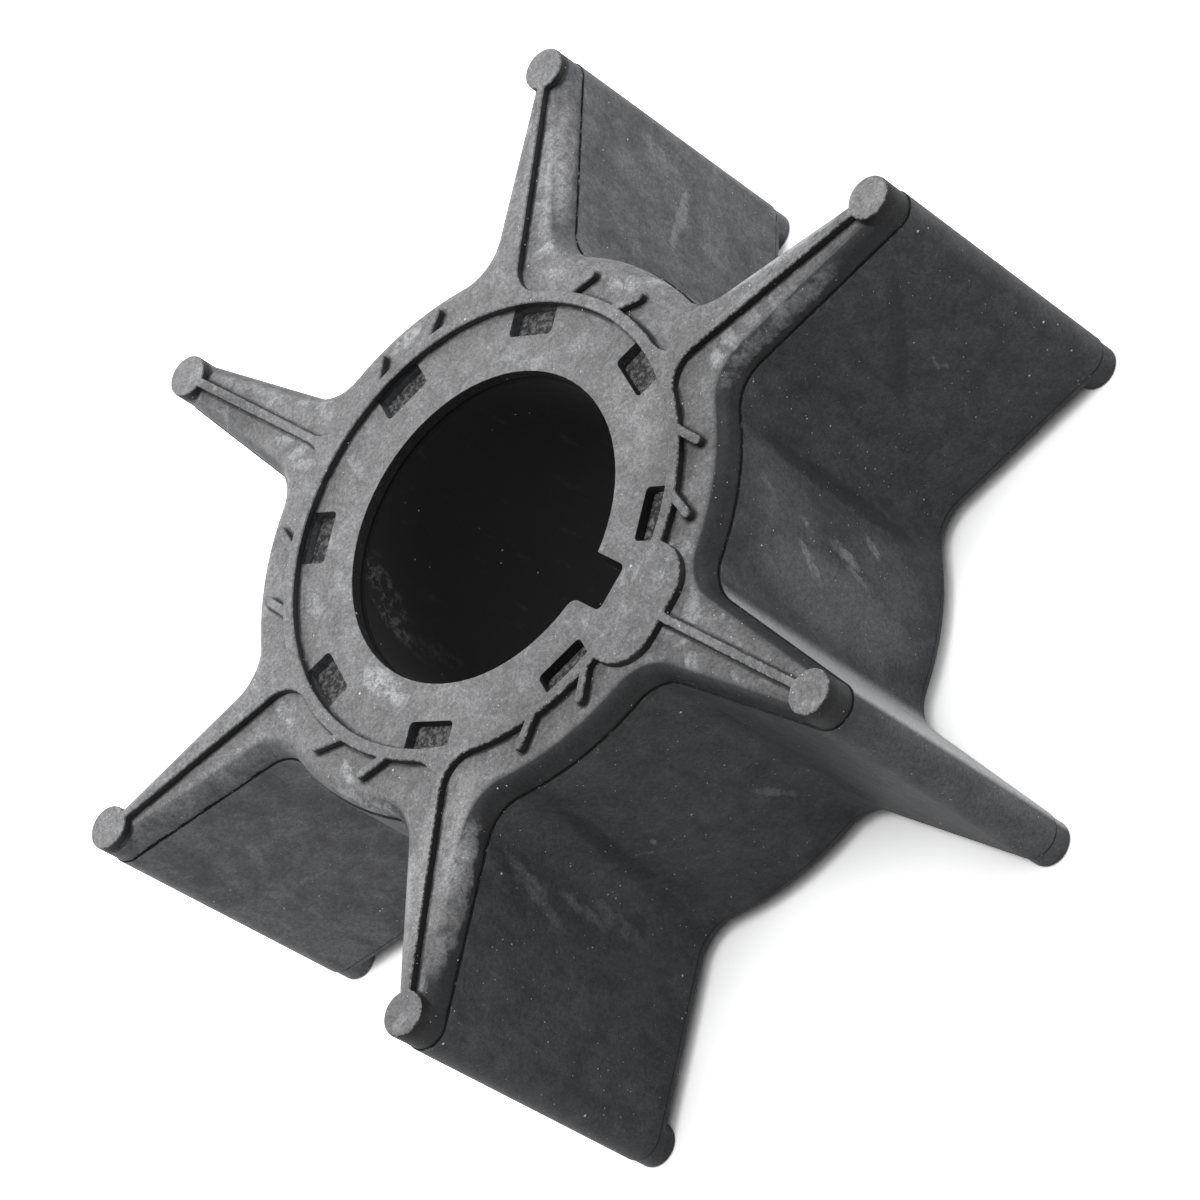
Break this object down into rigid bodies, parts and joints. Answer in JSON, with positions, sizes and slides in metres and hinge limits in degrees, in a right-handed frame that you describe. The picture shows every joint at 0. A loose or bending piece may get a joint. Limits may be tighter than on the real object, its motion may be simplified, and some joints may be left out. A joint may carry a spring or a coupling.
{
  "type": "rubber pump impeller",
  "caption": "Moulded rubber pump impeller with straight radial blades, beaded tips, raised sealing lines and a keyed hub sleeve.",
  "frame": {"origin": "on the bore axis, in the plane of the back face's sealing lines", "axes": "+Z along the bore axis, from the back face to the front face with the barbs; +X through the keyway and the keyed blade"},
  "size_m": [0.065, 0.0566, 0.0236],
  "materials": {
    "rubber": "matt, with a light bloom",
    "sleeve": "smooth bore"
  },
  "bodies": {
    "root": {"rubber_body": "rubber", "hub_insert": "sleeve"}
  },
  "joints": []
}
